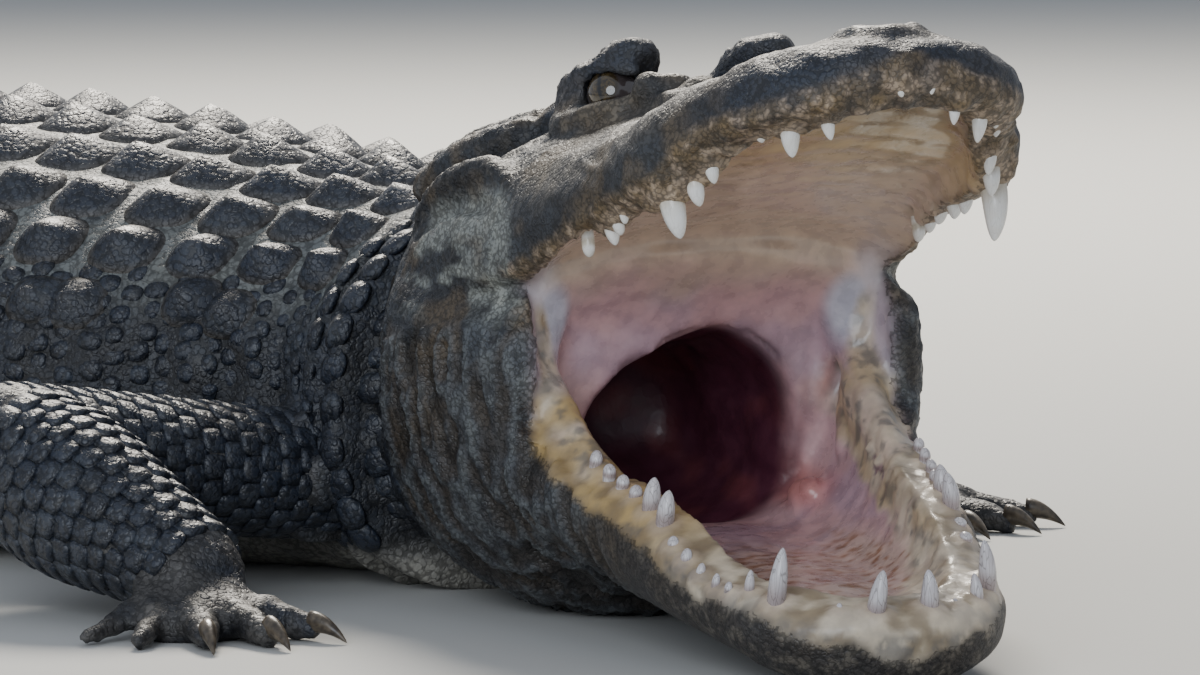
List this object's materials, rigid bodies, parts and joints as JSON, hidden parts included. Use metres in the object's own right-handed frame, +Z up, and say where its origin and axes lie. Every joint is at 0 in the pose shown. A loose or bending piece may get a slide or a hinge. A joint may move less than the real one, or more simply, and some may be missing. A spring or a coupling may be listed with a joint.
{
  "type": "american alligator, still model",
  "caption": "Life-size American alligator lying on its belly, head turned to its right and jaws wide open, tail laid in a slow curve.",
  "frame": {"origin": "middle of the footprint of the whole animal on the floor", "axes": "+X the way the trunk points, towards the head; +Y the animal's left; +Z up from the floor"},
  "size_m": [2.8564, 0.9212, 0.3302],
  "materials": {
    "hide": "charcoal-black scaly hide with pale light between the scutes, semi-gloss",
    "mouth_lining": "moist pink to cream mouth lining",
    "eye": "wet eye, dull gold iris with an upright slit pupil",
    "claw": "dark horn"
  },
  "bodies": {
    "root": {"head": "hide", "lower_jaw": "hide", "throat": "mouth_lining", "tongue": "mouth_lining", "eye_right": "eye", "eye_left": "eye", "neck": "hide", "torso_front": "hide", "torso_rear": "hide", "tail_1": "hide", "tail_2": "hide", "tail_3": "hide", "tail_4": "hide", "tail_5": "hide", "upper_arm_right": "hide", "forearm_right": "hide", "hand_right": "hide", "claw_hand_1_right": "claw", "claw_hand_2_right": "claw", "claw_hand_3_right": "claw", "upper_arm_left": "hide", "forearm_left": "hide", "hand_left": "hide", "claw_hand_1_left": "claw", "claw_hand_2_left": "claw", "claw_hand_3_left": "claw", "thigh_right": "hide", "shank_right": "hide", "foot_right": "hide", "claw_foot_1_right": "claw", "claw_foot_2_right": "claw", "claw_foot_3_right": "claw", "thigh_left": "hide", "shank_left": "hide", "foot_left": "hide", "claw_foot_1_left": "claw", "claw_foot_2_left": "claw", "claw_foot_3_left": "claw"}
  },
  "joints": []
}
